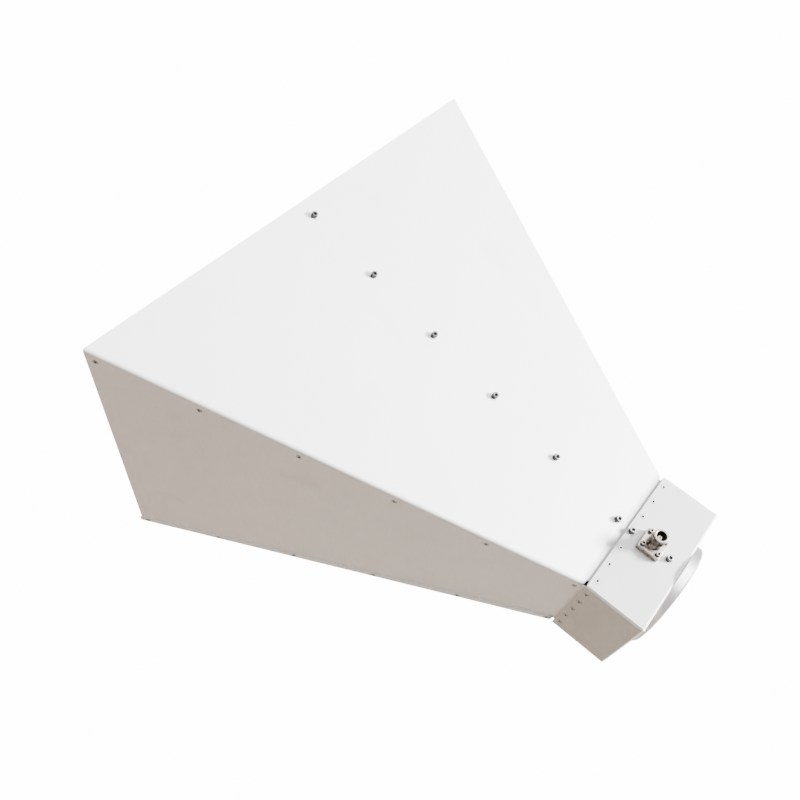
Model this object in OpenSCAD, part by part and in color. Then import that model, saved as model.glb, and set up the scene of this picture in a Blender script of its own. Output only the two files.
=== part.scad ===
// Double-ridged horn antenna: a folded sheet horn on a milled feed box,
// with a coaxial socket on top and a round mounting disc behind.
// +X is the boresight, +Z is up, and the origin is the centre of the disc's rear face.

/* [Horn] */
// Outer width of the mouth, between the side panels' outer faces
mouth_w = 563; // [480:1:640]
// Outer height of the mouth
mouth_h = 369; // [300:1:430]
// Length from the joint with the feed box to the mouth
horn_l = 477; // [380:1:560]
// Thickness of the sheet that the panels are folded from
sheet_t = 2; // [1.5:0.1:2.4]
// Outside radius of the folds along the panels' long edges
fold_r = 4; // [3:0.25:6]

/* [Panel seams] */
// Width of the inner flange that the top panel turns down behind each side panel
inner_flange = 22; // [18:1:30]
// Width of the outer flange that the bottom panel turns up over each side panel
outer_flange = 7; // [6:0.5:14]
// Straight stretch between the top fold and its seam
seam_drop = 1; // [0.5:0.25:3]
// Gap left along a seam
seam_gap = 0.3; // [0.2:0.05:0.5]
// Screws along each seam
seam_screws = 6; // [4:1:8]
// First seam screw, from the joint
seam_first = 9; // [8:0.5:20]
// Last seam screw, back from the mouth
seam_last = 9; // [7:0.5:30]
// Upper seam screws, down from the top corner
upper_seam_inset = 12; // [11:0.5:16]
// Lower seam screws, up from the bottom fold
lower_seam_inset = 3.4; // [3:0.1:4]

/* [Throat joint] */
// Length of the tabs that reach into the feed box
tab_l = 12; // [10:0.5:18]
// Distance from the joint to where the flare begins
bend_lead = 1.6; // [1:0.1:3]
// Corner relief at each end of a tab
corner_relief = 5.5; // [4.5:0.25:9]
// Gap between the panels' corners and the feed box
joint_gap = 0.4; // [0.2:0.1:1]
// Throat screws, back from the joint
throat_screw_set = 5.5; // [4.5:0.25:7]
// Throat screws on each half of the top and the bottom
throat_screws_half = 3; // [2:1:4]
// Outermost of them, in from the box's side
throat_screw_edge = 13; // [12:0.5:20]
// Throat screws on each side
throat_screws_side = 5; // [3:2:7]
// Outermost of them, in from the box's top and bottom
side_screw_edge = 14.5; // [12:0.5:20]

/* [Feed box] */
// Outer width
box_w = 170; // [150:1:200]
// Outer height
box_h = 117; // [105:1:150]
// Outer length
box_l = 68; // [64:1:90]
// Thickness of the four walls
wall_t = 4; // [4:0.25:6]
// Thickness of the back wall
back_t = 5; // [5:0.5:10]
// Chamfer along the outer edges
box_chamfer = 1.8; // [0.5:0.1:2.5]
// Radius in the corners of the milled cavity
cavity_r = 5; // [2:0.5:5]

/* [Ridges] */
// Thickness of the ridges
ridge_t = 14; // [10:0.5:17]
// Gap between the two ridges in the feed box
ridge_gap = 3; // [2:0.25:6]
// Clear length between the ridges and the back wall
short_l = 7; // [4:0.5:9]
// Ridge height left at the mouth
ridge_nose = 16; // [12:1:40]
// Setback of the ridge ends from the mouth
ridge_set = 3; // [1:0.5:10]
// Steady opening of the gap, for each millimetre of length
ridge_slope = 0.05; // [0.02:0.01:0.1]
// Screws that hold each ridge along the flare
ridge_screws = 6; // [4:1:8]
// First of them, from the joint
ridge_screw_first = 14; // [12:0.5:30]
// Last of them, back from the mouth
ridge_screw_last = 21; // [14:0.5:40]
// Front ridge screw in the feed box, back from the joint
box_screw_front = 5; // [4.5:0.25:7]
// Rear ridge screw in the feed box, ahead of the ridge's heel
box_screw_heel = 5.5; // [4:0.25:8]

/* [Coaxial socket] */
// Socket axis, back from the joint
socket_set = 29; // [27:0.5:31]
// Side of the square flange
socket_flange_w = 25.4; // [24:0.1:28]
// Thickness of the flange
socket_flange_t = 7.6; // [4:0.1:10]
// Spacing of the flange screws
socket_hole_pitch = 18.26; // [17.6:0.01:19]
// Outside diameter of the threaded barrel
barrel_d = 15.88; // [14:0.01:15.9]
// Height of the barrel above the flange
barrel_l = 20; // [17:0.5:24]
// Bore of the barrel
barrel_bore_d = 10.4; // [9:0.1:11]
// Bore of the coaxial line below the barrel
line_bore_d = 7; // [6:0.1:8]
// Diameter of the centre conductor
pin_d = 3; // [2.5:0.1:3.6]
// Outside diameter of the slotted centre contact
contact_d = 4; // [3.8:0.1:5]
// Depth of the contact below the barrel's rim
contact_drop = 5; // [3:0.25:7]

/* [Mounting disc] */
// Diameter of the disc
disc_d = 125; // [118:1:150]
// Thickness of the disc
disc_t = 10; // [9:0.5:16]
// Chamfer on its rear edge
disc_chamfer = 2; // [0.5:0.25:3]
// Pitch circle of the threaded mounting holes
mount_pcd = 100; // [95:1:104]
// Threaded mounting holes
mount_holes = 4; // [3:1:6]
// Tapping diameter of the mounting holes
mount_hole_d = 5; // [4.2:0.1:6.8]
// Depth of the mounting holes
mount_hole_depth = 8; // [6:0.5:8]
// Pitch circle of the screws that hold the disc to the box
disc_screw_pcd = 70; // [60:1:76]
// Screws that hold the disc to the box
disc_screws = 6; // [3:1:8]

/* [Screws] */
// Shank of the ridge screws
ridge_screw_d = 4; // [3:0.5:4]
// Shank of the seam, throat and socket screws
small_screw_d = 3; // [2.5:0.5:3]
// Shank of the disc screws
disc_screw_d = 5; // [4:0.5:5]
// Radial play round a shank in a clearance hole
screw_play = 0.25; // [0.15:0.05:0.4]
// Radial play round a screw in its thread or countersink
thread_play = 0.05; // [0.03:0.01:0.1]

/* [Hidden] */
$fn = 64;

FINISH_WHITE = "gainsboro";
METAL = "silver";
NICKEL = "darkgray";
STEEL = "dimgray";
PTFE = "white";

big = 2000;

// Stations along the boresight
joint_x = disc_t + box_l;
start_x = joint_x + bend_lead;
mouth_x = joint_x + horn_l;
relief_x = joint_x + 2 * bend_lead;

// The panels leave the box one lip inside its outer faces
lip_t = wall_t - sheet_t;
throat_w = box_w - 2 * lip_t;
throat_h = box_h - 2 * lip_t;
flare_l = horn_l - bend_lead;
pitch_a = atan((mouth_h - throat_h) / 2 / flare_l);
yaw_a = atan((mouth_w - throat_w) / 2 / flare_l);

// Steps that a fold and a throat bend are drawn in
fold_steps = 12;
bend_steps = 8;

// The edge where a flat panel meets a side panel: its slant in each panel, and the turn of its fold
edge_in_flat = atan(cos(pitch_a) * tan(yaw_a));
edge_in_side = atan(cos(yaw_a) * tan(pitch_a));
turn = acos(sin(pitch_a) * sin(yaw_a));
fold_lead = fold_r * tan(turn / 2);

// Ridges
ridge_feed_l = box_l - back_t - short_l;
roof_z = box_h / 2 - wall_t;
ridge_l = horn_l - ridge_set;
ridge_steps = 36;
ridge_top_z = panel_z(ridge_l);
ridge_curve = ln((ridge_top_z - ridge_nose - ridge_slope * ridge_l) / (ridge_gap / 2));

// Socket and its line
socket_x = joint_x - socket_set;
barrel_z = box_h / 2 + socket_flange_t;
rim_z = barrel_z + barrel_l;
insulator_t = 5;
thread_l = 8;
neck_d = barrel_d - 1.6;
pin_seat = 9;
bush_l = 8;

// Screw heads
ridge_head_d = 1.75 * ridge_screw_d;
socket_head_d = 1.83 * small_screw_d;
sink_head_d = 1.87 * small_screw_d;
disc_head_d = 1.9 * disc_screw_d;
ridge_grip = 10;
proud = 1;
eps = 0.01;

// Height of the top panel's inner face above the axis, at a distance from the joint
function panel_z(x) =
    throat_h / 2 + (x - bend_lead) * tan(pitch_a) - sheet_t / cos(pitch_a);

// Height of the upper ridge's curved edge, at a distance from the joint
function ridge_z(x) = ridge_gap / 2 * exp(ridge_curve * x / ridge_l) + ridge_slope * x;

// Places spread evenly from one end to the other
function spread(first, last, count) = [for (i = [0:count - 1]) first + (last - first) * i / (count - 1)];

// Distances along the boresight, measured on a slanted panel from the start of the flare
function along(x, slant) = (x - bend_lead) / cos(slant);

ridge_screw_x = spread(ridge_screw_first, horn_l - ridge_screw_last, ridge_screws);
seam_screw_x = spread(seam_first, horn_l - seam_last, seam_screws);
throat_screw_y = [for (i = [1:throat_screws_half]) i * (box_w / 2 - throat_screw_edge) / throat_screws_half];
side_screw_z = spread(side_screw_edge - box_h / 2, box_h / 2 - side_screw_edge, throat_screws_side);
box_ridge_screw_x = [joint_x - box_screw_front, joint_x - ridge_feed_l + box_screw_heel];

// ---- Screws and their holes, with the head's seat at z = 0 and the shank along -z ----

module hex_socket(across, depth, top) {
    translate([0, 0, top - depth])
        cylinder(d = across / cos(30), h = depth + eps, $fn = 6);
}

module cap_screw(d, head_d, grip) {
    difference() {
        union() {
            cylinder(d = head_d, h = d);
            translate([0, 0, -grip]) cylinder(d = d, h = grip + eps);
        }
        hex_socket(0.75 * d, 0.5 * d, d);
    }
}

module sunk_screw(d, head_d, grip) {
    sink = (head_d - d) / 2;
    difference() {
        union() {
            translate([0, 0, -sink]) cylinder(d1 = d, d2 = head_d, h = sink);
            translate([0, 0, -grip]) cylinder(d = d, h = grip);
        }
        hex_socket(0.65 * d, 0.35 * d, 0);
    }
}

module clearance_hole(d, depth) {
    translate([0, 0, -depth]) cylinder(d = d + 2 * screw_play, h = depth + proud);
}

module tapped_hole(d, depth) {
    translate([0, 0, -depth]) cylinder(d = d + 2 * thread_play, h = depth + proud);
}

module sunk_hole(d, head_d, depth) {
    sink = (head_d - d) / 2;
    play = 2 * thread_play;
    translate([0, 0, -sink]) cylinder(d1 = d + play, d2 = head_d + play, h = sink + eps);
    translate([0, 0, -depth]) cylinder(d = d + play, h = depth + eps);
}

// ---- Frames of the four panels, with the outer face at z = 0 and x running to the mouth ----

module on_top() {
    translate([start_x, 0, throat_h / 2]) rotate([0, -pitch_a, 0]) children();
}

module on_left() {
    translate([start_x, throat_w / 2, 0]) rotate([0, 0, yaw_a]) rotate([-90, 0, 0]) children();
}

module mirror_y() {
    mirror([0, 1, 0]) children();
}

module mirror_z() {
    mirror([0, 0, 1]) children();
}

module between_x(from, to) {
    intersection() {
        children();
        translate([from, -big / 2, -big / 2]) cube([to - from, big, big]);
    }
}

// Screw places along a ridge, on the top panel
module at_ridge_screws() {
    for (x = ridge_screw_x) on_top() translate([along(x, pitch_a), 0, 0]) children();
}

// Seam screw places on the left panel, at a distance from the top or bottom corner line
module at_left_seam(inset) {
    for (x = seam_screw_x) {
        u = along(x, yaw_a);
        corner = throat_h / 2 + u * tan(edge_in_side);
        on_left() translate([u, inset / cos(edge_in_side) - corner, 0]) children();
    }
}

module at_upper_left_seam() {
    at_left_seam(upper_seam_inset) children();
}

// The bottom flange lies one sheet outside the side panel
module at_lower_left_seam() {
    mirror_z() at_left_seam(fold_lead + lower_seam_inset) translate([0, 0, sheet_t]) children();
}

module at_top_throat() {
    for (s = [-1, 1])
        for (y = throat_screw_y)
            translate([joint_x - throat_screw_set, s * y, box_h / 2]) children();
}

module at_left_throat() {
    for (z = side_screw_z)
        translate([joint_x - throat_screw_set, box_w / 2, z]) rotate([-90, 0, 0]) children();
}

module at_top_box_ridge() {
    for (x = box_ridge_screw_x) translate([x, 0, box_h / 2]) children();
}

module at_socket_screws() {
    for (sx = [-1, 1])
        for (sy = [-1, 1])
            translate([socket_x + sx * socket_hole_pitch / 2, sy * socket_hole_pitch / 2, barrel_z])
                children();
}

module at_disc_screws() {
    for (i = [0:disc_screws - 1])
        rotate([360 * (i + 0.5) / disc_screws, 0, 0])
            translate([0, 0, disc_screw_pcd / 2]) rotate([0, -90, 0]) children();
}

// ---- Folded sheet ----

function arc(centre, r, from, to, steps) =
    [for (i = [0:steps]) let (a = from + (to - from) * i / steps) centre + r * [sin(a), cos(a)]];

function reversed(points) = [for (i = [len(points) - 1:-1:0]) points[i]];

// A panel in section at the throat, at a depth under its outer face: tab, bend and flare
function throat_line(angle, depth) = let (r = bend_lead / tan(angle / 2))
    concat(
        [[-tab_l - bend_lead, -depth]],
        arc([-bend_lead, r], -r - depth, 0, -angle, bend_steps),
        [[-bend_lead, r] - (r + depth) * [-sin(angle), cos(angle)] + 2 * horn_l * [cos(angle), sin(angle)]]
    );

module sheet_section(angle) {
    polygon(concat(throat_line(angle, 0), reversed(throat_line(angle, sheet_t))));
}

// All that lies under the panel's face at a depth
module under_section(angle, depth) {
    polygon(concat(throat_line(angle, depth), [[2 * horn_l, -big / 2], [-tab_l - bend_lead, -big / 2]]));
}

// A section at the throat run across the whole top panel
module across_top() {
    translate([start_x, 0, throat_h / 2]) rotate([90, 0, 0])
        linear_extrude(height = big, center = true) children();
}

// The way along a flange from its fold, and the way out of it
function flange_way() = [cos(turn), -sin(turn)];
function flange_out() = [sin(turn), cos(turn)];

// All that lies within a folded edge at a depth: x across the panel and outwards, y up from its face.
// The first step of the fold runs on past the face, which is cut by the panel's own section.
module edge_section(depth, flange) {
    fold = arc([0, -fold_r], fold_r - depth, 0, turn, fold_steps);
    lead_way = (fold[0] - fold[1]) / norm(fold[0] - fold[1]);
    lead_in = fold[0] + 10 * fold_r * lead_way;
    tip = flange[len(flange) - 1];
    round_fold = [for (i = [1:fold_steps]) fold[i]];
    polygon(concat([[-big, lead_in[1]], lead_in], round_fold, flange, [tip - big * flange_out()]));
}

// The top panel's edge turns down, then steps in behind the side panel
module inner_flange_section(depth) {
    bend_end = [0, -fold_r] + (fold_r - depth) * flange_out();
    behind = bend_end - sheet_t * flange_out();
    drop = seam_drop * flange_way();
    edge_section(depth, depth > 0
        ? [behind, behind + big * flange_way()]
        : [bend_end + drop, behind + drop, behind + (inner_flange - fold_lead) * flange_way()]);
}

// The bottom panel's edge turns up outside the side panel
module outer_flange_section(depth) {
    bend_end = [0, -fold_r] + (fold_r - depth) * flange_out();
    edge_section(depth, [bend_end + (depth > 0 ? big : outer_flange) * flange_way()]);
}

// A section run along the slanted left edge of a flat panel
module along_left_edge(outset) {
    edge_y = throat_w / 2 + (outset - fold_lead) / cos(edge_in_flat);
    on_top() translate([0, edge_y, 0]) rotate([0, 0, edge_in_flat])
        translate([-horn_l, 0, 0]) rotate([90, 0, 90])
            linear_extrude(height = big + horn_l) children();
}

module both_edges() {
    children();
    mirror_y() children();
}

// What the panel's face and its two folded edges enclose, at a depth; the child is the edge's section
module panel_loaf(depth, outset) {
    intersection() {
        across_top() under_section(pitch_a, depth);
        along_left_edge(outset) children();
        mirror_y() along_left_edge(outset) children();
    }
}

// The tab that reaches into the box, and the bend from it to the flare
module top_tab() {
    tab_w = throat_w - 2 * corner_relief;
    intersection() {
        across_top() sheet_section(pitch_a);
        translate([joint_x - tab_l - proud, -tab_w / 2, 0])
            cube([tab_l + 4 * bend_lead + proud, tab_w, throat_h]);
    }
}

module top_panel() {
    color(FINISH_WHITE) difference() {
        union() {
            top_tab();
            difference() {
                between_x(relief_x, mouth_x) panel_loaf(0, 0) inner_flange_section(0);
                panel_loaf(sheet_t, 0) inner_flange_section(sheet_t);
            }
        }
        at_ridge_screws() clearance_hole(ridge_screw_d, 2 * sheet_t);
        at_top_box_ridge() clearance_hole(ridge_screw_d, 2 * wall_t);
        at_top_throat() tapped_hole(small_screw_d, 2 * wall_t);
        both_edges() at_upper_left_seam() tapped_hole(small_screw_d, 3 * sheet_t);
    }
}

module bottom_panel() {
    outset = sheet_t / sin(turn);
    color(FINISH_WHITE) mirror_z() difference() {
        union() {
            top_tab();
            difference() {
                between_x(relief_x, mouth_x) panel_loaf(0, outset) outer_flange_section(0);
                panel_loaf(sheet_t, outset) outer_flange_section(sheet_t);
            }
        }
        at_ridge_screws() clearance_hole(ridge_screw_d, 2 * sheet_t);
        at_top_box_ridge() clearance_hole(ridge_screw_d, 2 * wall_t);
        at_top_throat() tapped_hole(small_screw_d, 2 * wall_t);
        both_edges() mirror_z() at_lower_left_seam() sunk_hole(small_screw_d, sink_head_d, 1.5 * sheet_t);
    }
}

// Side panel between the top fold's seam and the bottom fold, with its own tab
module left_panel() {
    upper_cut = (fold_lead + seam_drop + seam_gap) / cos(edge_in_side);
    lower_cut = (sheet_t / sin(turn) + sheet_t / tan(turn) + (fold_r - sheet_t) * tan(turn / 2)
        + seam_gap) / cos(edge_in_side);
    half = throat_h / 2;
    rise = tan(edge_in_side);
    u_end = 2 * horn_l;
    u_start = -4 * bend_lead;
    tab_h = throat_h - 2 * corner_relief;
    color(FINISH_WHITE) difference() {
        intersection() {
            translate([start_x, throat_w / 2, 0])
                linear_extrude(height = big, center = true) sheet_section(yaw_a);
            union() {
                between_x(relief_x, mouth_x) on_left() translate([0, 0, -big / 2])
                    linear_extrude(height = big) polygon([
                        [u_start, upper_cut - half - u_start * rise], [u_end, upper_cut - half - u_end * rise],
                        [u_end, half + u_end * rise - lower_cut], [u_start, half + u_start * rise - lower_cut]
                    ]);
                translate([joint_x - tab_l - proud, 0, -tab_h / 2])
                    cube([tab_l + 4 * bend_lead + proud, throat_w, tab_h]);
            }
        }
        at_upper_left_seam() sunk_hole(small_screw_d, sink_head_d, 2 * sheet_t);
        at_lower_left_seam() tapped_hole(small_screw_d, 3 * sheet_t);
        at_left_throat() tapped_hole(small_screw_d, 2 * wall_t);
    }
}

module right_panel() {
    mirror_y() left_panel();
}

// ---- Ridges ----

// Outline of the upper ridge, x from the joint and y up from the axis
module ridge_outline() {
    corner = bend_lead + sheet_t * tan(pitch_a / 2);
    polygon(concat(
        [[-ridge_feed_l, roof_z], [-ridge_feed_l, ridge_gap / 2]],
        [for (i = [0:ridge_steps]) let (x = ridge_l * i / ridge_steps) [x, ridge_z(x)]],
        [[ridge_l, ridge_top_z], [corner, roof_z]]
    ));
}

module ridge_blank() {
    difference() {
        translate([joint_x, ridge_t / 2, 0]) rotate([90, 0, 0])
            linear_extrude(height = ridge_t) ridge_outline();
        at_ridge_screws() tapped_hole(ridge_screw_d, sheet_t + ridge_grip + proud);
        at_top_box_ridge() tapped_hole(ridge_screw_d, wall_t + ridge_grip + proud);
    }
}

module upper_ridge() {
    color(METAL) difference() {
        ridge_blank();
        translate([socket_x, 0, 0]) cylinder(d = line_bore_d, h = box_h);
    }
}

module lower_ridge() {
    color(METAL) difference() {
        mirror_z() ridge_blank();
        translate([socket_x, 0, -ridge_gap / 2 - pin_seat - proud])
            cylinder(d = pin_d + 2 * thread_play, h = box_h / 2);
    }
}

// ---- Feed box and mounting disc ----

module chamfered_square(w, h, c) {
    polygon([
        [c - w / 2, -h / 2], [w / 2 - c, -h / 2], [w / 2, c - h / 2], [w / 2, h / 2 - c],
        [w / 2 - c, h / 2], [c - w / 2, h / 2], [-w / 2, h / 2 - c], [-w / 2, c - h / 2]
    ]);
}

module rounded_square(w, h, r) {
    square([w - 2 * r, h], center = true);
    square([w, h - 2 * r], center = true);
    for (sx = [-1, 1])
        for (sy = [-1, 1])
            translate([sx * (w / 2 - r), sy * (h / 2 - r)]) circle(r = r);
}

// A section in Y and Z run forwards from a station
module run_x(from, length) {
    translate([from, 0, 0]) rotate([90, 0, 90]) linear_extrude(height = length) children();
}

// Outer block, chamfered along its length and round its rear face
module box_block() {
    c = box_chamfer;
    intersection() {
        run_x(disc_t, box_l) chamfered_square(box_w, box_h, c);
        translate([0, 0, -box_h]) linear_extrude(height = 2 * box_h) polygon([
            [disc_t, c - box_w / 2], [disc_t + c, -box_w / 2], [joint_x, -box_w / 2],
            [joint_x, box_w / 2], [disc_t + c, box_w / 2], [disc_t, box_w / 2 - c]
        ]);
        translate([0, box_w, 0]) rotate([90, 0, 0]) linear_extrude(height = 2 * box_w) polygon([
            [disc_t, c - box_h / 2], [disc_t + c, -box_h / 2], [joint_x, -box_h / 2],
            [joint_x, box_h / 2], [disc_t + c, box_h / 2], [disc_t, box_h / 2 - c]
        ]);
    }
}

module feed_box() {
    color(FINISH_WHITE) difference() {
        box_block();
        run_x(disc_t + back_t, box_l) rounded_square(box_w - 2 * wall_t, box_h - 2 * wall_t, cavity_r);
        run_x(joint_x - tab_l - joint_gap, box_l) square([throat_w, throat_h], center = true);
        for (flip = [0, 1]) mirror([0, 0, flip]) {
            at_top_throat() sunk_hole(small_screw_d, sink_head_d, wall_t);
            at_top_box_ridge() clearance_hole(ridge_screw_d, 2 * wall_t);
        }
        both_edges() at_left_throat() sunk_hole(small_screw_d, sink_head_d, wall_t);
        at_socket_screws() tapped_hole(small_screw_d, socket_flange_t + 2 * wall_t);
        translate([socket_x, 0, 0]) cylinder(d = line_bore_d, h = box_h);
        at_disc_screws() tapped_hole(disc_screw_d, disc_t + back_t - proud);
    }
}

module mounting_disc() {
    r = disc_d / 2;
    c = disc_chamfer;
    color(METAL) difference() {
        rotate([0, 90, 0]) rotate_extrude($fn = 128)
            polygon([[0, 0], [r - c, 0], [r, c], [r, disc_t], [0, disc_t]]);
        for (i = [0:mount_holes - 1])
            rotate([360 * (i + 0.5) / mount_holes, 0, 0]) translate([-proud, 0, mount_pcd / 2])
                rotate([0, 90, 0]) cylinder(d = mount_hole_d, h = mount_hole_depth + proud);
        at_disc_screws() sunk_hole(disc_screw_d, disc_head_d, disc_t + proud);
    }
}

// ---- Coaxial socket ----

// Half section of the socket's turned barrel and of its line bore, r across and z up
module socket_body() {
    rim = 0.6;
    color(NICKEL) difference() {
        union() {
            translate([socket_x, 0, box_h / 2]) linear_extrude(height = socket_flange_t)
                chamfered_square(socket_flange_w, socket_flange_w, 1);
            translate([socket_x, 0, barrel_z - eps]) rotate_extrude() polygon([
                [0, 0], [neck_d / 2 + 0.6, 0], [neck_d / 2, 1.2], [neck_d / 2, barrel_l - thread_l - 4],
                [barrel_d / 2, barrel_l - thread_l - 3], [barrel_d / 2, barrel_l - 3.2],
                [neck_d / 2, barrel_l - 2.4], [neck_d / 2, barrel_l - rim], [neck_d / 2 - rim, barrel_l],
                [0, barrel_l]
            ]);
        }
        translate([socket_x, 0, box_h / 2 - proud]) cylinder(d = line_bore_d, h = rim_z);
        translate([socket_x, 0, barrel_z]) cylinder(d = barrel_bore_d, h = barrel_l + proud);
        translate([socket_x, 0, rim_z - rim])
            cylinder(d1 = barrel_bore_d, d2 = barrel_bore_d + 3 * rim, h = 1.5 * rim);
        at_socket_screws() clearance_hole(small_screw_d, 2 * socket_flange_t);
    }
}

module socket_insulator() {
    color(PTFE) difference() {
        translate([socket_x, 0, barrel_z]) cylinder(d = barrel_bore_d - 2 * thread_play, h = insulator_t);
        translate([socket_x, 0, barrel_z - proud]) cylinder(d = pin_d + 2 * thread_play, h = barrel_l);
    }
}

// One turned pin: slotted contact above, plain rod down through the upper ridge into the lower one
module centre_conductor() {
    low_z = -ridge_gap / 2 - pin_seat;
    seat_z = barrel_z + insulator_t;
    tip_z = rim_z - contact_drop;
    color("goldenrod") translate([socket_x, 0, 0]) difference() {
        union() {
            translate([0, 0, low_z]) cylinder(d = pin_d, h = seat_z - low_z + eps);
            translate([0, 0, seat_z]) cylinder(d = contact_d, h = tip_z - seat_z);
        }
        translate([0, 0, tip_z - 5]) cylinder(d = 0.5 * contact_d, h = 6);
        for (a = [0, 90]) rotate(a) translate([0, 0, tip_z - 1.5])
            cube([2 * contact_d, 0.12 * contact_d, 4], center = true);
    }
}

module ridge_bush() {
    color(PTFE) difference() {
        translate([socket_x, 0, ridge_gap / 2]) cylinder(d = line_bore_d - 2 * thread_play, h = bush_l);
        translate([socket_x, 0, 0]) cylinder(d = pin_d + 2 * thread_play, h = box_h);
    }
}

// ---- Screws ----

module socket_screws() {
    color(STEEL) at_socket_screws() cap_screw(small_screw_d, socket_head_d, socket_flange_t + wall_t - proud);
}

module upper_ridge_screws() {
    color(STEEL) at_ridge_screws() cap_screw(ridge_screw_d, ridge_head_d, sheet_t + ridge_grip);
}

module lower_ridge_screws() {
    mirror_z() upper_ridge_screws();
}

module box_top_ridge_screws() {
    color(STEEL) at_top_box_ridge() cap_screw(ridge_screw_d, ridge_head_d, wall_t + ridge_grip);
}

module box_bottom_ridge_screws() {
    mirror_z() box_top_ridge_screws();
}

module upper_left_seam_screws() {
    color(METAL) at_upper_left_seam() sunk_screw(small_screw_d, sink_head_d, 2 * sheet_t + proud);
}

module upper_right_seam_screws() {
    mirror_y() upper_left_seam_screws();
}

module lower_left_seam_screws() {
    color(METAL) at_lower_left_seam() sunk_screw(small_screw_d, sink_head_d, 2 * sheet_t + proud);
}

module lower_right_seam_screws() {
    mirror_y() lower_left_seam_screws();
}

module top_throat_screws() {
    color(METAL) at_top_throat() sunk_screw(small_screw_d, sink_head_d, wall_t + proud);
}

module bottom_throat_screws() {
    mirror_z() top_throat_screws();
}

module left_throat_screws() {
    color(METAL) at_left_throat() sunk_screw(small_screw_d, sink_head_d, wall_t + proud);
}

module right_throat_screws() {
    mirror_y() left_throat_screws();
}

module disc_screws() {
    color(STEEL) at_disc_screws() sunk_screw(disc_screw_d, disc_head_d, disc_t + back_t - 2 * proud);
}

top_panel();
bottom_panel();
left_panel();
right_panel();
upper_ridge();
lower_ridge();
feed_box();
mounting_disc();
socket_body();
socket_insulator();
centre_conductor();
ridge_bush();
socket_screws();
upper_ridge_screws();
lower_ridge_screws();
box_top_ridge_screws();
box_bottom_ridge_screws();
upper_left_seam_screws();
upper_right_seam_screws();
lower_left_seam_screws();
lower_right_seam_screws();
top_throat_screws();
bottom_throat_screws();
left_throat_screws();
right_throat_screws();
disc_screws();
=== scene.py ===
"""Double-ridged horn antenna: finishes, turned and threaded pieces, light and camera."""
import math

import bmesh
import bpy
import numpy as np
from mathutils import Matrix, Vector


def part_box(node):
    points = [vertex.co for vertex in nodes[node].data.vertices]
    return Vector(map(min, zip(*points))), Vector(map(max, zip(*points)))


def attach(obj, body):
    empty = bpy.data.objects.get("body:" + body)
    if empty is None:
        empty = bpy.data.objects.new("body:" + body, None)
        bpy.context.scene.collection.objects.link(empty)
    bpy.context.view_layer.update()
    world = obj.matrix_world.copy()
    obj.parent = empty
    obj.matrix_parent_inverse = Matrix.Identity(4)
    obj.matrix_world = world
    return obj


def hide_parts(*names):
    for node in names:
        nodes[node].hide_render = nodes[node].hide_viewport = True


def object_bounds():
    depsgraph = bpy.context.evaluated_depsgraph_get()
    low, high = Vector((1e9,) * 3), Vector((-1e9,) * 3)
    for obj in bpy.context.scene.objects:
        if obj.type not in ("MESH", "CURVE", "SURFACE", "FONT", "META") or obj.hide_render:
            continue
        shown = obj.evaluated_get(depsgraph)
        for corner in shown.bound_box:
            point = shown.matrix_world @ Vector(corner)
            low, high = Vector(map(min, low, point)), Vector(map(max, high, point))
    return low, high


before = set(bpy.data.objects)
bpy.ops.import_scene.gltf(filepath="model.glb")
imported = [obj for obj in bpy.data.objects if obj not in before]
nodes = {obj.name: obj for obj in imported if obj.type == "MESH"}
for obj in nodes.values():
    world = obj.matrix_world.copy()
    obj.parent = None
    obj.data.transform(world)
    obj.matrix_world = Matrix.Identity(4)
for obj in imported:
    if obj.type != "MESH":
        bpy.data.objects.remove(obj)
cad_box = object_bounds()
MM = 0.001

# The feed box's front end, where the horn's sheets start, and its rear end, against the disc
THROAT_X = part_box("feed_box")[1].x
REAR_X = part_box("feed_box")[0].x
# The top of the socket's square flange, on which its barrel stands
SEAT_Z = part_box("socket_insulator")[0].z

# Spacing of the cutter's rows and of the lathe's lines
BOX_ROWS = 0.6 * MM
RIDGE_ROWS = 1.1 * MM
TURNED_LINES = 0.35 * MM

# The socket's barrel over its thread, and the heads of its flange screws
BARREL_RADIUS = 7.94 * MM
SOCKET_SCREW_HEAD = 5.49 * MM


# ---- Shader expressions ----

class Link:
    """A shader socket. An expression on it adds the Math nodes that work it out."""

    def __init__(self, finish, socket):
        self.finish = finish
        self.socket = socket

    def math(self, operation, *values):
        return self.finish.node("ShaderNodeMath", {"operation": operation}, values)

    def __add__(self, other):
        return self.math("ADD", self, other)

    def __radd__(self, other):
        return self.math("ADD", other, self)

    def __mul__(self, other):
        return self.math("MULTIPLY", self, other)

    def __rmul__(self, other):
        return self.math("MULTIPLY", other, self)

    def __pow__(self, other):
        return self.math("POWER", self, other)

    def wave(self):
        return self.math("SINE", self)

    def between(self, low, high):
        """0 below low, 1 above high and a smooth step from one to the other."""
        return self.finish.node("ShaderNodeMapRange", {"interpolation_type": "SMOOTHSTEP"}, {
            "Value": self, "From Min": low, "From Max": high})


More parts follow.
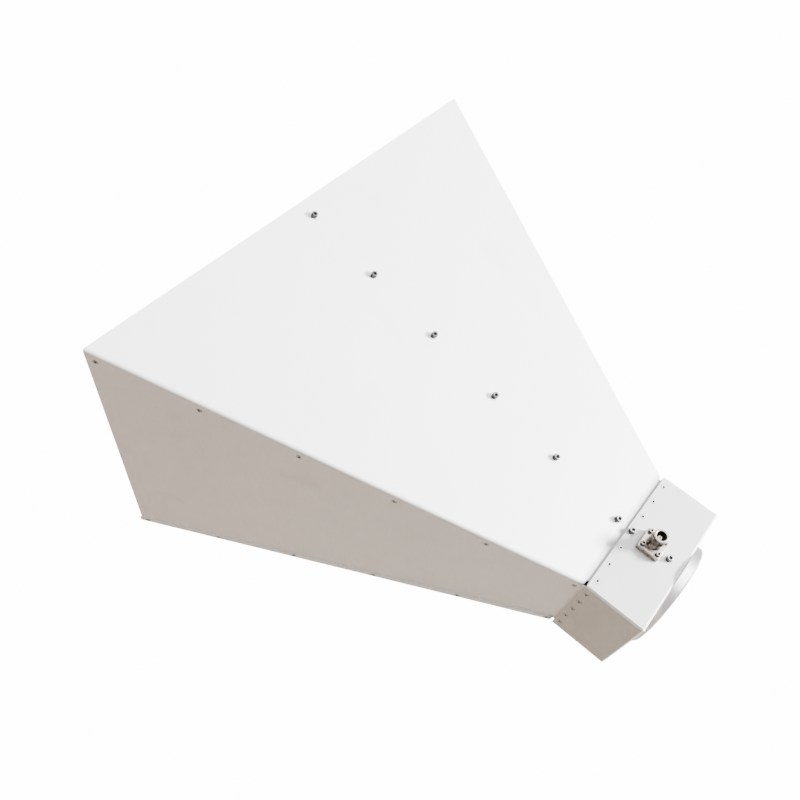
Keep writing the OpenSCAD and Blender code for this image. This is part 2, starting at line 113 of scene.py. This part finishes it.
class Finish:
    """One material: a Principled shader and the nodes that feed it."""

    def __init__(self, name, **constants):
        self.material = bpy.data.materials.new(name)
        self.material.use_nodes = True
        self.tree = self.material.node_tree
        self.shader = self.tree.nodes["Principled BSDF"]
        for label, value in constants.items():
            self.shader.inputs[label.replace("_", " ")].default_value = value
        self.place = self.node("ShaderNodeTexCoord", output="Object")

    def node(self, kind, settings=None, values=(), output=0):
        """Adds a node: its settings first, then the values or links of its inputs."""
        made = self.tree.nodes.new(kind)
        for label, value in (settings or {}).items():
            setattr(made, label, value)
        for key, value in (values.items() if isinstance(values, dict) else enumerate(values)):
            self.feed(made.inputs[key], value)
        return Link(self, made.outputs[output])

    def feed(self, socket, value):
        if isinstance(value, Link):
            self.tree.links.new(value.socket, socket)
        else:
            socket.default_value = value

    def set(self, label, value):
        self.feed(self.shader.inputs[label], value)

    def noise(self, scale, detail=2.0, stretch=(1.0, 1.0, 1.0)):
        """A noise value. Scale is in features per metre; a stretch under 1 draws it out along that axis."""
        place = self.node("ShaderNodeMapping", {"vector_type": "POINT"}, {
            "Vector": self.place, "Scale": stretch})
        return self.node("ShaderNodeTexNoise", {}, {"Vector": place, "Scale": scale, "Detail": detail})

    def mix(self, share, first, second):
        """A colour between two colours."""
        return self.node("ShaderNodeMix", {"data_type": "RGBA"}, {0: share, 6: first, 7: second}, output=2)

    def attribute(self, name):
        """A number kept at each point of the mesh."""
        return self.node("ShaderNodeAttribute", {"attribute_name": name}, output="Fac")

    def axis(self, name):
        """One coordinate of the place: X, Y or Z."""
        return self.node("ShaderNodeSeparateXYZ", {}, (self.place,), output=name)

    def bump(self, height, depth):
        """Feeds the normal with a height from 0 to 1 that stands for a depth in metres."""
        self.set("Normal", self.node("ShaderNodeBump", {}, {
            "Strength": 1.0, "Distance": depth, "Height": height}))


def tone(red, green, blue):
    return (red, green, blue, 1.0)


def satin_sheet(name, bend_painted_shade, bend_run):
    """Whitened aluminium sheet with rolling grain and handling marks, with painted shade at its throat bend.
    """
    finish = Finish(name, Specular_IOR_Level=0.5, Metallic=0.0)
    x = finish.axis("X")
    cloud = finish.noise(6.0, 2.0)
    smears = finish.noise(19.0, 5.0, (0.5, 1.0, 1.0)).between(0.58, 0.76)
    grain = finish.noise(900.0, 3.0, (0.05, 1.0, 1.0))
    # Painted shade: the sheet is painted darker towards the throat bend, fading out over bend_run.
    past_bend_shade = finish.node("ShaderNodeMapRange", {"interpolation_type": "LINEAR"}, {
        "Value": x, "From Min": THROAT_X + 0.5 * MM, "From Max": THROAT_X + bend_run})
    clean = finish.mix(cloud, tone(0.79, 0.79, 0.80), tone(0.86, 0.86, 0.87))
    marked = finish.mix(smears * 0.35, clean, tone(0.68, 0.67, 0.66))
    finish.set("Base Color", finish.mix(past_bend_shade ** 1.3, tone(*bend_painted_shade), marked))
    finish.set("Roughness", 0.38 + cloud * 0.08 + smears * 0.10)
    finish.bump(grain * 0.6 + finish.noise(2600.0) * 0.4, 0.02 * MM)
    return finish.material


def satin_box():
    """The same whitening on the milled block, greyer, with fine cutter rows and a painted highlight on its
    rear edge.
    """
    finish = Finish("satin_box", Specular_IOR_Level=0.5, Metallic=0.0)
    x = finish.axis("X")
    cloud = finish.noise(16.0, 3.0)
    rows = (x * (math.tau / BOX_ROWS)).wave() * 0.5 + 0.5
    coated = finish.mix(cloud, tone(0.49, 0.48, 0.465), tone(0.55, 0.54, 0.525))
    # Painted highlight: the chamfer along the rear edge is painted near white.
    rear_edge_highlight = x.between(REAR_X + 2.2 * MM, REAR_X + 1.7 * MM)
    finish.set("Base Color", finish.mix(rear_edge_highlight, coated, tone(0.93, 0.93, 0.93)))
    finish.set("Roughness", 0.38 + cloud * 0.08)
    finish.bump(rows * 0.3 + finish.noise(2200.0) * 0.7, 0.012 * MM)
    return finish.material


def milled_ridge():
    """Bare aluminium with the cutter's rows across the ridge's curved edge."""
    finish = Finish("milled_ridge", Metallic=1.0)
    x = finish.axis("X")
    rows = (x * (math.tau / RIDGE_ROWS) + finish.noise(30.0) * 3.0).wave() * 0.5 + 0.5
    streaks = finish.noise(500.0, 4.0, (1.0, 1.0, 0.04))
    finish.set("Base Color", finish.mix(streaks, tone(0.70, 0.70, 0.71), tone(0.80, 0.80, 0.80)))
    finish.set("Roughness", 0.30 + streaks * 0.16)
    finish.bump(rows * 0.5 + streaks * 0.5, 0.02 * MM)
    return finish.material


def turned_disc():
    """Turned aluminium: fine rings round the boresight on the faces and round the rim."""
    finish = Finish("turned_disc", Metallic=1.0)
    x, y, z = (finish.axis(name) for name in "XYZ")
    radius = (y * y + z * z) ** 0.5
    rings = (radius * (math.tau / TURNED_LINES)).wave() * 0.5 + 0.5
    feed_lines = (x * (math.tau / TURNED_LINES)).wave() * 0.5 + 0.5
    cloud = finish.noise(45.0, 4.0)
    finish.set("Base Color", finish.mix(cloud, tone(0.66, 0.66, 0.66), tone(0.76, 0.76, 0.75)))
    finish.set("Roughness", 0.34 + cloud * 0.12)
    finish.bump(rings * 0.5 + feed_lines * 0.5, 0.006 * MM)
    return finish.material


def warm_nickel():
    """Warm plating: bright on the flange and the rim, with painted shade and painted dark reflections on the
    barrel, and painted shade in bore and grooves.
    """
    finish = Finish("warm_nickel", Specular_IOR_Level=0.3)
    patches = finish.noise(260.0, 4.0).between(0.35, 0.65)
    # The rim, marked scuffed bright, keeps the bright plating: scuffing, and a painted highlight against the
    # barrel's painted shade.
    rim_scuffed_and_highlight = finish.attribute("wear_and_painted_light").between(0.2, 0.9)
    above_flange = finish.axis("Z").between(SEAT_Z + 0.2 * MM, SEAT_Z + 0.8 * MM)
    # Painted shade: points marked as shaded, in the bore, the grooves and at the seat, are painted near black
    # and not metallic.
    lit = finish.attribute("wear_and_painted_light").between(-0.9, -0.05)
    bright = finish.mix(patches, tone(0.27, 0.232, 0.205), tone(0.35, 0.305, 0.27))
    # Painted shade and painted dark reflections: above the flange the barrel is painted far darker than the
    # flange, in patches.
    dull = finish.mix(patches, tone(0.060, 0.050, 0.043), tone(0.24, 0.205, 0.18))
    plating = finish.mix(above_flange, bright, finish.mix(rim_scuffed_and_highlight, dull, bright))
    finish.set("Base Color", finish.mix(lit, tone(0.016, 0.011, 0.008), plating))
    finish.set("Metallic", lit)
    finish.set("Roughness", 0.27 + patches * 0.16)
    finish.bump(finish.noise(4000.0), 0.004 * MM)
    return finish.material


def fluoropolymer():
    finish = Finish("fluoropolymer", Subsurface_Weight=0.15, Roughness=0.45)
    cloud = finish.noise(300.0)
    finish.set("Base Color", finish.mix(cloud, tone(0.80, 0.79, 0.76), tone(0.88, 0.87, 0.85)))
    finish.bump(cloud, 0.01 * MM)
    return finish.material


def pale_gold():
    finish = Finish("pale_gold", Metallic=1.0)
    cloud = finish.noise(500.0, 3.0)
    finish.set("Base Color", finish.mix(cloud, tone(0.30, 0.24, 0.17), tone(0.42, 0.35, 0.26)))
    finish.set("Roughness", 0.22 + cloud * 0.1)
    return finish.material


def screw_steel(name, plain, scuffed_and_highlight, roughness):
    """Screw steel: small bright and dull patches, scuffed edges with a painted highlight, and painted shade
    in its recess and under its head.
    """
    finish = Finish(name, Specular_IOR_Level=0.3)
    patches = finish.noise(900.0, 4.0)
    wear_and_painted_light = finish.attribute("wear_and_painted_light")
    plain_now = finish.mix(patches, tone(*[0.8 * c for c in plain]), tone(*plain))
    scuffed_and_highlight_now = finish.mix(patches, tone(*[0.9 * c for c in scuffed_and_highlight]), tone(*scuffed_and_highlight))
    # Points marked scuffed bright take the brighter colour: scuffing, and partly a painted highlight.
    shown = finish.mix(wear_and_painted_light.between(0.0, 0.9), plain_now, scuffed_and_highlight_now)
    # Painted shade: points marked as shaded are painted near black and not metallic.
    finish.set("Base Color", finish.mix(wear_and_painted_light.between(-0.9, -0.1), tone(0.006, 0.006, 0.006), shown))
    finish.set("Metallic", wear_and_painted_light.between(-0.9, -0.1))
    finish.set("Roughness", roughness + patches * 0.12)
    finish.bump(finish.noise(3500.0, 3.0), 0.006 * MM)
    return finish.material


# ---- Mesh helpers ----

def mesh_piece(name, points, wear_and_painted_light, faces, material, smooth_angle=35.0):
    """A closed mesh whose object sits at the origin, with its place in its points."""
    mesh = bpy.data.meshes.new(name)
    mesh.from_pydata([tuple(p) for p in points], [], faces)
    mesh.attributes.new("wear_and_painted_light", "FLOAT", "POINT").data.foreach_set("value", wear_and_painted_light)
    work = bmesh.new()
    work.from_mesh(mesh)
    bmesh.ops.remove_doubles(work, verts=work.verts, dist=1e-7)
    bmesh.ops.recalc_face_normals(work, faces=work.faces)
    work.to_mesh(mesh)
    work.free()
    mesh.shade_smooth()
    mesh.set_sharp_from_angle(angle=math.radians(smooth_angle))
    mesh.materials.append(material)
    piece = bpy.data.objects.new(name, mesh)
    bpy.context.scene.collection.objects.link(piece)
    return piece


def ring_faces(rings, around):
    """Quads that join rings of points, each ring `around` points long."""
    return [
        (r * around + i, r * around + (i + 1) % around,
         (r + 1) * around + (i + 1) % around, (r + 1) * around + i)
        for r in range(rings - 1) for i in range(around)
    ]


def ring_points(rings, around):
    """Points and their wear_and_painted_light values from rings: each a height, a radius or a rule for it,
    and a wear_and_painted_light value.
    """
    points = []
    wear_and_painted_light = []
    for height, radius, wear_and_light_value in rings:
        for i in range(around):
            angle = math.tau * i / around
            r = radius(angle) if callable(radius) else radius
            points.append((r * math.cos(angle), r * math.sin(angle), height))
            wear_and_painted_light.append(wear_and_light_value)
    return points, wear_and_painted_light


def turned(rings, around):
    """A turned shape with both ends closed."""
    points, wear_and_painted_light = ring_points(rings, around)
    faces = ring_faces(len(rings), around)
    last = (len(rings) - 1) * around
    faces.append(tuple(reversed(range(around))))
    faces.append(tuple(last + i for i in range(around)))
    return points, wear_and_painted_light, faces


def hexagon(across_flats):
    """Radius of a hexagon at an angle."""
    def radius(angle):
        return across_flats / 2 / math.cos((angle + math.pi / 6) % (math.pi / 3) - math.pi / 6)
    return radius


# ---- Screws ----

# Points round a screw
AROUND = 48

# Marks on a point of a screw or of the socket: bare and scuffed bright with a painted highlight, as made, or
# dark with painted shade
SCUFFED_AND_HIGHLIGHT = 1.0
AS_MADE = 0.0
PAINTED_SHADE = -1.0


def cap_screw_mesh(shank, length, material):
    """Cap screw on a spring washer, shank down -Z. The plain screw's head has its top at the origin."""
    head = 0.875 * shank
    flats = 0.80 * shank
    washer = 0.32 * shank
    seat = -shank
    low = seat + washer
    top = washer

    def knurl(angle):
        return head * (1 - 0.018 * abs(math.sin(12 * angle)))

    # Painted shade: the washer's underside, the gap between washer and head and the hex recess are painted
    # near black as shade; the top face is painted scuffed bright, partly a painted highlight.
    rings = [
        (-length, 0.40 * shank, AS_MADE), (-length + 0.1 * shank, 0.5 * shank, AS_MADE),
        (seat, 0.5 * shank, PAINTED_SHADE), (seat, head * 0.93, PAINTED_SHADE), (seat + 0.06 * shank, head * 0.97, AS_MADE),
        (low - 0.06 * shank, head * 0.97, AS_MADE), (low - 0.01 * shank, head * 0.92, PAINTED_SHADE),
        (low + 0.01 * shank, head * 0.95, PAINTED_SHADE), (low + 0.07 * shank, knurl, AS_MADE),
        (top - 0.26 * shank, knurl, AS_MADE), (top - 0.20 * shank, head, AS_MADE),
        (top - 0.10 * shank, head * 0.97, AS_MADE), (top - 0.03 * shank, head * 0.90, AS_MADE),
        (top, head * 0.82, SCUFFED_AND_HIGHLIGHT), (top, flats * 0.68, SCUFFED_AND_HIGHLIGHT), (top - 0.02 * shank, flats * 0.63, PAINTED_SHADE),
        (top - 0.04 * shank, hexagon(flats), PAINTED_SHADE), (top - 0.5 * shank, hexagon(flats), PAINTED_SHADE),
        (top - 0.62 * shank, 0.02 * shank, PAINTED_SHADE),
    ]
    return mesh_piece("cap_screw_pattern", *turned(rings, AROUND), material)


def sunk_screw_mesh(shank, length, material, crown=0.0):
    """Countersunk screw flush with the origin, shank down -Z. Its head may be a little crowned."""
    head = 0.935 * shank
    flats = 0.76 * shank
    top = crown * shank
    # Painted shade: a ring round the head's rim and the hex recess are painted near black as shade; the top
    # face is painted scuffed bright, partly a painted highlight.
    rings = [
        (-length, 0.40 * shank, AS_MADE), (-length + 0.1 * shank, 0.5 * shank, AS_MADE),
        (-(head - shank / 2), 0.5 * shank, AS_MADE), (-0.12 * shank, head * 0.93, PAINTED_SHADE),
        (-0.05 * shank, head, PAINTED_SHADE), (-0.01 * shank, head * 0.99, PAINTED_SHADE), (top * 0.5, head * 0.94, PAINTED_SHADE),
        (top * 0.9, head * 0.85, AS_MADE), (top, head * 0.78, SCUFFED_AND_HIGHLIGHT), (top, flats * 0.64, SCUFFED_AND_HIGHLIGHT),
        (top - 0.02 * shank, flats * 0.60, PAINTED_SHADE), (top - 0.04 * shank, hexagon(flats), PAINTED_SHADE),
        (-0.40 * shank, hexagon(flats), PAINTED_SHADE), (-0.52 * shank, 0.02 * shank, PAINTED_SHADE),
    ]
    return mesh_piece("sunk_screw_pattern", *turned(rings, AROUND), material)


def loose_parts(node):
    """The points of each separate solid in a CAD node, with its triangles' areas and normals."""
    work = bmesh.new()
    work.from_mesh(nodes[node].data)
    bmesh.ops.remove_doubles(work, verts=work.verts, dist=1e-6)
    work.verts.ensure_lookup_table()
    seen = set()
    parts = []
    for start in work.verts:
        if start.index in seen:
            continue
        seen.add(start.index)
        group = [start]
        for vert in group:
            for edge in vert.link_edges:
                other = edge.other_vert(vert)
                if other.index not in seen:
                    seen.add(other.index)
                    group.append(other)
        faces = {face for vert in group for face in vert.link_faces}
        parts.append((
            np.array([v.co for v in group]),
            np.array([f.calc_area() for f in faces]),
            np.array([f.normal for f in faces]),
        ))
    work.free()
    return parts


def screw_place(points, areas, normals):
    """Top of a screw's head, the way that it faces, and its length, from its solid."""
    spread = (normals * areas[:, None]).T @ normals
    sizes, ways = np.linalg.eigh(spread)
    middle = sizes[1]
    way = ways[:, 0] if middle - sizes[0] > sizes[2] - middle else ways[:, 2]
    along = points @ way
    centre = points[np.abs(along - along.max()) < 1e-5].mean(0)
    across = np.linalg.norm((points - centre) - np.outer((points - centre) @ way, way), axis=1)
    top = across[along > along.max() - 0.1 * MM].max()
    bottom = across[along < along.min() + 0.1 * MM].max()
    if bottom > top:
        way = -way
        along = -along
        centre = points[np.abs(along - along.max()) < 1e-5].mean(0)
    return centre, way, float(along.max() - along.min())


def screw_tree(pattern, material, seed):
    """Node tree that stands a screw on each point, along the point's `way`, each turned by its own angle."""
    tree = bpy.data.node_groups.new("stand_screws", "GeometryNodeTree")
    tree.interface.new_socket("Places", in_out="INPUT", socket_type="NodeSocketGeometry")
    size = tree.interface.new_socket("Size", in_out="INPUT", socket_type="NodeSocketFloat")
    size.default_value = 1.0
    tree.interface.new_socket("Screws", in_out="OUTPUT", socket_type="NodeSocketGeometry")

    def add(kind, settings=None, values=()):
        made = tree.nodes.new(kind)
        for label, value in (settings or {}).items():
            setattr(made, label, value)
        for key, value in dict(values).items():
            if isinstance(value, bpy.types.NodeSocket):
                tree.links.new(value, made.inputs[key])
            else:
                made.inputs[key].default_value = value
        return made

    given = add("NodeGroupInput")
    screw = add("GeometryNodeObjectInfo", {"transform_space": "ORIGINAL"}, {"Object": pattern})
    way = add("GeometryNodeInputNamedAttribute", {"data_type": "FLOAT_VECTOR"}, {"Name": "way"})
    facing = add("FunctionNodeAlignRotationToVector", {"axis": "Z"}, {"Vector": way.outputs["Attribute"]})
    spin = add("FunctionNodeRandomValue", {"data_type": "FLOAT"}, {2: 0.0, 3: math.tau, "Seed": seed})
    turn = add("FunctionNodeAxisAngleToRotation", {}, {"Axis": (0, 0, 1), "Angle": spin.outputs[1]})
    turned_facing = add("FunctionNodeRotateRotation", {"rotation_space": "LOCAL"}, {
        0: facing.outputs[0], 1: turn.outputs[0]})
    stand = add("GeometryNodeInstanceOnPoints", {}, {
        "Points": given.outputs["Places"], "Instance": screw.outputs["Geometry"],
        "Rotation": turned_facing.outputs[0], "Scale": given.outputs["Size"]})
    real = add("GeometryNodeRealizeInstances", {}, {"Geometry": stand.outputs[0]})
    paint = add("GeometryNodeSetMaterial", {}, {"Geometry": real.outputs[0], "Material": material})
    out = add("NodeGroupOutput")
    tree.links.new(paint.outputs[0], out.inputs[0])
    return tree, size.identifier


def screws(node, make_pattern, shank, material, seed, **form):
    """Detailed screws in the places of a CAD node's plain ones, which they replace."""
    places = [screw_place(*part) for part in loose_parts(node)]
    pattern = make_pattern(shank, places[0][2], material, **form)
    spots = bpy.data.meshes.new(node + "_spots")
    spots.from_pydata([tuple(p[0]) for p in places], [], [])
    ways = spots.attributes.new("way", "FLOAT_VECTOR", "POINT")
    ways.data.foreach_set("vector", np.array([p[1] for p in places], np.float32).ravel())
    holder = bpy.data.objects.new(node + "_holder", spots)
    bpy.context.scene.collection.objects.link(holder)
    modifier = holder.modifiers.new("screws", "NODES")
    modifier.node_group, size = screw_tree(pattern, material, seed)
    modifier[size] = 1.0
    bpy.context.view_layer.update()
    evaluated = holder.evaluated_get(bpy.context.evaluated_depsgraph_get())
    mesh = bpy.data.meshes.new_from_object(evaluated)
    piece = bpy.data.objects.new(node + "_detail", mesh)
    bpy.context.scene.collection.objects.link(piece)
    bpy.data.objects.remove(holder)
    bpy.data.objects.remove(pattern)
    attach(piece, "root")
    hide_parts(node)
    return piece


# ---- Coaxial socket ----

def socket_barrel(material):
    """The turned barrel in one shell: plain foot, thread, ring over a groove, and a bore with painted shade.
    """
    low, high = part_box("socket_body")
    insulator_low, insulator_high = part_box("socket_insulator")
    seat = SEAT_Z
    middle = (low.x + high.x) / 2
    rim = high.z
    bore = (insulator_high.x - insulator_low.x) / 2 + 0.05 * MM
    outside = BARREL_RADIUS
    foot = outside - 0.25 * MM
    pitch = 1.06 * MM
    depth = 0.50 * MM
    thread_low = rim - 10.5 * MM
    thread_high = rim - 3.4 * MM
    around = 96
    per_turn = 8

    def crest(height, angle):
        """Radius of the thread: a rounded V that climbs one pitch a turn and fades at both ends."""
        turn = (height / pitch - angle / math.tau) % 1.0
        fade = min(1.0, max(0.0, (height - thread_low) / pitch), max(0.0, (thread_high - height) / pitch))
        return outside - 0.05 * MM - depth * fade * (0.5 + 0.5 * math.cos(math.tau * turn)) ** 0.8

    # Painted shade: the seat at the foot, the grooves below and above the thread, and the bore are painted
    # near black as shade; the rim is painted scuffed bright, partly a painted highlight.
    rings = [(seat - 0.2 * MM, foot + 0.7 * MM, PAINTED_SHADE), (seat + 0.02 * MM, foot + 0.7 * MM, PAINTED_SHADE)]
    for i in range(1, 5):
        a = math.pi / 2 * i / 4
        rings.append((seat + 0.7 * MM * math.sin(a), foot + 0.7 * MM * (1 - math.sin(a)), AS_MADE))
    rings += [
        (thread_low - 1.5 * MM, foot, AS_MADE), (thread_low - 1.3 * MM, foot - 0.6 * MM, PAINTED_SHADE),
        (thread_low - 0.5 * MM, foot - 0.6 * MM, PAINTED_SHADE), (thread_low - 0.2 * MM, outside - 0.1 * MM, AS_MADE),
    ]
    steps = int((thread_high - thread_low) / pitch * per_turn)
    for i in range(steps + 1):
        height = thread_low + (thread_high - thread_low) * i / steps
        rings.append((height, lambda angle, height=height: crest(height, angle), AS_MADE))
    rings += [
        (thread_high + 0.3 * MM, foot - 0.75 * MM, PAINTED_SHADE), (thread_high + 1.1 * MM, foot - 0.75 * MM, PAINTED_SHADE),
        (thread_high + 1.35 * MM, foot - 0.1 * MM, AS_MADE), (rim - 0.6 * MM, foot, SCUFFED_AND_HIGHLIGHT),
        (rim - 0.25 * MM, foot - 0.12 * MM, SCUFFED_AND_HIGHLIGHT), (rim - 0.05 * MM, foot - 0.4 * MM, SCUFFED_AND_HIGHLIGHT),
        (rim, foot - 0.65 * MM, SCUFFED_AND_HIGHLIGHT), (rim, bore + 0.75 * MM, SCUFFED_AND_HIGHLIGHT),
        (rim - 0.1 * MM, bore + 0.45 * MM, SCUFFED_AND_HIGHLIGHT),
        (rim - 0.5 * MM, bore, AS_MADE), (rim - 0.9 * MM, bore, PAINTED_SHADE),
        (seat + 5.0 * MM, bore, PAINTED_SHADE), (seat - 0.2 * MM, bore, PAINTED_SHADE),
    ]
    points, wear_and_painted_light = ring_points(rings, around)
    faces = ring_faces(len(rings), around)
    last = (len(rings) - 1) * around
    faces += [(i, last + i, last + (i + 1) % around, (i + 1) % around) for i in range(around)]
    points = [(x + middle, y, z) for x, y, z in points]
    return mesh_piece("socket_barrel", points, wear_and_painted_light, faces, material, 50.0)


def rounded_plate(name, half, thick, base, centre_x, holes, bore, material):
    """A square plate with softened edges, a bore and four screw holes."""
    work = bmesh.new()
    bmesh.ops.create_cube(work, size=1.0)
    bmesh.ops.scale(work, vec=(2 * half, 2 * half, thick), verts=work.verts)
    bmesh.ops.translate(work, vec=(centre_x, 0, base + thick / 2), verts=work.verts)
    corner = 1.0 * MM
    edge = 0.25 * MM
    upright = [e for e in work.edges if abs(e.verts[0].co.z - e.verts[1].co.z) > thick / 2]
    bmesh.ops.bevel(work, geom=upright, offset=corner, segments=3, affect="EDGES", profile=0.5)
    rims = [e for e in work.edges if abs(e.verts[0].co.z - e.verts[1].co.z) < 1e-7]
    bmesh.ops.bevel(work, geom=rims, offset=edge, segments=2, affect="EDGES", profile=0.5)
    mesh = bpy.data.meshes.new(name)
    work.to_mesh(mesh)
    work.free()
    mesh.materials.append(material)
    plate = bpy.data.objects.new(name, mesh)
    bpy.context.scene.collection.objects.link(plate)
    for x, y, radius in holes + [(0, 0, bore)]:
        bpy.ops.mesh.primitive_cylinder_add(
            vertices=48, radius=radius, depth=4 * thick, location=(centre_x + x, y, base))
        drill = bpy.context.object
        cut = plate.modifiers.new("drill", "BOOLEAN")
        cut.operation = "DIFFERENCE"
        cut.solver = "EXACT"
        cut.object = drill
        bpy.context.view_layer.update()
        evaluated = plate.evaluated_get(bpy.context.evaluated_depsgraph_get())
        plate.data = bpy.data.meshes.new_from_object(evaluated)
        plate.modifiers.clear()
        bpy.data.objects.remove(drill)
    plate.data.shade_smooth()
    plate.data.set_sharp_from_angle(angle=math.radians(35))
    return plate


def coaxial_socket(material):
    """The flange and the barrel, which take the place of the plain socket body."""
    low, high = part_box("socket_body")
    screw_low, screw_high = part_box("socket_screws")
    pitch = (screw_high.x - screw_low.x) - SOCKET_SCREW_HEAD
    holes = [(sx * pitch / 2, sy * pitch / 2, 1.75 * MM) for sx in (-1, 1) for sy in (-1, 1)]
    plate = rounded_plate(
        "socket_flange", (high.x - low.x) / 2, SEAT_Z - low.z, low.z, (low.x + high.x) / 2,
        holes, 3.5 * MM, material)
    barrel = socket_barrel(material)
    for piece in (plate, barrel):
        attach(piece, "root")
    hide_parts("socket_body")


# ---- Finishes on the frame's own nodes ----

def finish_node(name, material):
    slots = nodes[name].data.materials
    slots.clear()
    slots.append(material)


# Painted shade at the throat bend: strong on the top and bottom sheets, light on the side sheets.
flat_sheet = satin_sheet("satin_sheet_flat", (0.22, 0.22, 0.23), 9 * MM)
side_sheet = satin_sheet("satin_sheet_side", (0.66, 0.65, 0.64), 5 * MM)
for name in ("top_panel", "bottom_panel"):
    finish_node(name, flat_sheet)
for name in ("left_panel", "right_panel"):
    finish_node(name, side_sheet)
finish_node("feed_box", satin_box())
ridge = milled_ridge()
for name in ("upper_ridge", "lower_ridge"):
    finish_node(name, ridge)
finish_node("mounting_disc", turned_disc())
white_plastic = fluoropolymer()
for name in ("socket_insulator", "ridge_bush"):
    finish_node(name, white_plastic)
finish_node("centre_conductor", pale_gold())
nickel = warm_nickel()
finish_node("socket_body", nickel)
coaxial_socket(nickel)

dark_steel = screw_steel("dark_steel", (0.085, 0.085, 0.088), (0.45, 0.45, 0.45), 0.34)
bright_steel = screw_steel("bright_steel", (0.30, 0.30, 0.30), (0.62, 0.62, 0.62), 0.36)
blackened_steel = screw_steel("blackened_steel", (0.028, 0.028, 0.030), (0.15, 0.15, 0.15), 0.30)
CAP_SCREWS = [
    ("upper_ridge_screws", 4 * MM, blackened_steel), ("lower_ridge_screws", 4 * MM, blackened_steel),
    ("box_top_ridge_screws", 4 * MM, dark_steel), ("box_bottom_ridge_screws", 4 * MM, dark_steel),
    ("socket_screws", 3 * MM, dark_steel),
]
SUNK_SCREWS = [
    ("upper_left_seam_screws", 3 * MM), ("upper_right_seam_screws", 3 * MM),
    ("lower_left_seam_screws", 3 * MM), ("lower_right_seam_screws", 3 * MM),
    ("top_throat_screws", 3 * MM), ("bottom_throat_screws", 3 * MM),
    ("left_throat_screws", 3 * MM), ("right_throat_screws", 3 * MM), ("disc_screws", 5 * MM),
]
for seed, (name, shank, steel) in enumerate(CAP_SCREWS):
    screws(name, cap_screw_mesh, shank, steel, seed)
for seed, (name, shank) in enumerate(SUNK_SCREWS, start=20):
    crown = 0.0 if name == "disc_screws" else 0.10
    screws(name, sunk_screw_mesh, shank, bright_steel, seed, crown=crown)


# ---- Floor, light and camera ----

# Brightness that the floor and the room show to the camera alone
SEEN_WHITE = 15.0


def pale_floor():
    """A wide pale floor, seen nearly white and throwing back only a little warm light."""
    low = cad_box[0]
    mesh = bpy.data.meshes.new("floor")
    size = 8.0
    drop = 0.35
    corners = [(-size, -size), (size, -size), (size, size), (-size, size)]
    mesh.from_pydata([(x, y, low.z - drop) for x, y in corners], [], [(0, 1, 2, 3)])
    floor = bpy.data.objects.new("floor", mesh)
    bpy.context.scene.collection.objects.link(floor)
    finish = Finish("pale_floor")
    tree = finish.tree
    seen = finish.node("ShaderNodeLightPath", output="Is Camera Ray")
    shown = finish.node("ShaderNodeEmission", {}, {"Color": tone(1, 1, 1), "Strength": SEEN_WHITE})
    lit = finish.node("ShaderNodeBsdfDiffuse", {}, {"Color": tone(0.22, 0.19, 0.155)})
    mixed = finish.node("ShaderNodeMixShader", {}, {0: seen, 1: lit, 2: shown})
    tree.links.new(mixed.socket, tree.nodes["Material Output"].inputs["Surface"])
    mesh.materials.append(finish.material)


def soft_light(name, way, distance, size, power, colour):
    """An area light that far off along a way, turned to the middle of the antenna."""
    middle = (cad_box[0] + cad_box[1]) / 2
    lamp = bpy.data.lights.new(name, "AREA")
    lamp.shape = "DISK"
    lamp.size = size
    lamp.energy = power
    lamp.color = colour
    light = bpy.data.objects.new(name, lamp)
    way = Vector(way).normalized()
    light.location = middle + way * distance
    light.rotation_euler = way.to_track_quat("Z", "Y").to_euler()
    bpy.context.scene.collection.objects.link(light)


def studio():
    """A low key light from behind, a wide light overhead, a warm light on one side, and a dim warm room."""
    soft_light("key", (-0.72, -0.50, 0.47), 2.6, 0.7, 520.0, (0.98, 0.99, 1.0))
    soft_light("overhead", (-0.30, -0.60, 1.6), 2.6, 2.4, 150.0, (0.95, 0.975, 1.0))
    soft_light("warm_side", (0.25, 1.0, -0.25), 2.4, 1.8, 30.0, (1.0, 0.60, 0.34))
    world = bpy.data.worlds.new("soft_room")
    world.use_nodes = True
    tree = world.node_tree
    room = tree.nodes["Background"]
    room.inputs["Color"].default_value = tone(1.0, 0.935, 0.87)
    room.inputs["Strength"].default_value = 0.62
    backdrop = tree.nodes.new("ShaderNodeBackground")
    backdrop.inputs["Strength"].default_value = SEEN_WHITE
    seen = tree.nodes.new("ShaderNodeLightPath")
    mixed = tree.nodes.new("ShaderNodeMixShader")
    tree.links.new(seen.outputs["Is Camera Ray"], mixed.inputs[0])
    tree.links.new(room.outputs[0], mixed.inputs[1])
    tree.links.new(backdrop.outputs[0], mixed.inputs[2])
    tree.links.new(mixed.outputs[0], tree.nodes["World Output"].inputs["Surface"])
    bpy.context.scene.world = world


def camera():
    """Looks down on the top and the left side, rolled a little."""
    lens = bpy.data.cameras.new("camera")
    lens.sensor_width = 36.0
    lens.lens = 34.24
    lens.clip_start = 0.05
    lens.clip_end = 50.0
    eye = bpy.data.objects.new("camera", lens)
    eye.location = (0.1278, 0.4656, 0.7640)
    aim = Vector((0.3600, 0.0344, 0.040))
    roll = math.radians(13.575)
    look = (aim - eye.location).to_track_quat("-Z", "Y").to_matrix()
    eye.rotation_euler = (look @ Matrix.Rotation(roll, 3, "Z")).to_euler()
    bpy.context.scene.collection.objects.link(eye)
    bpy.context.scene.camera = eye


pale_floor()
studio()
camera()
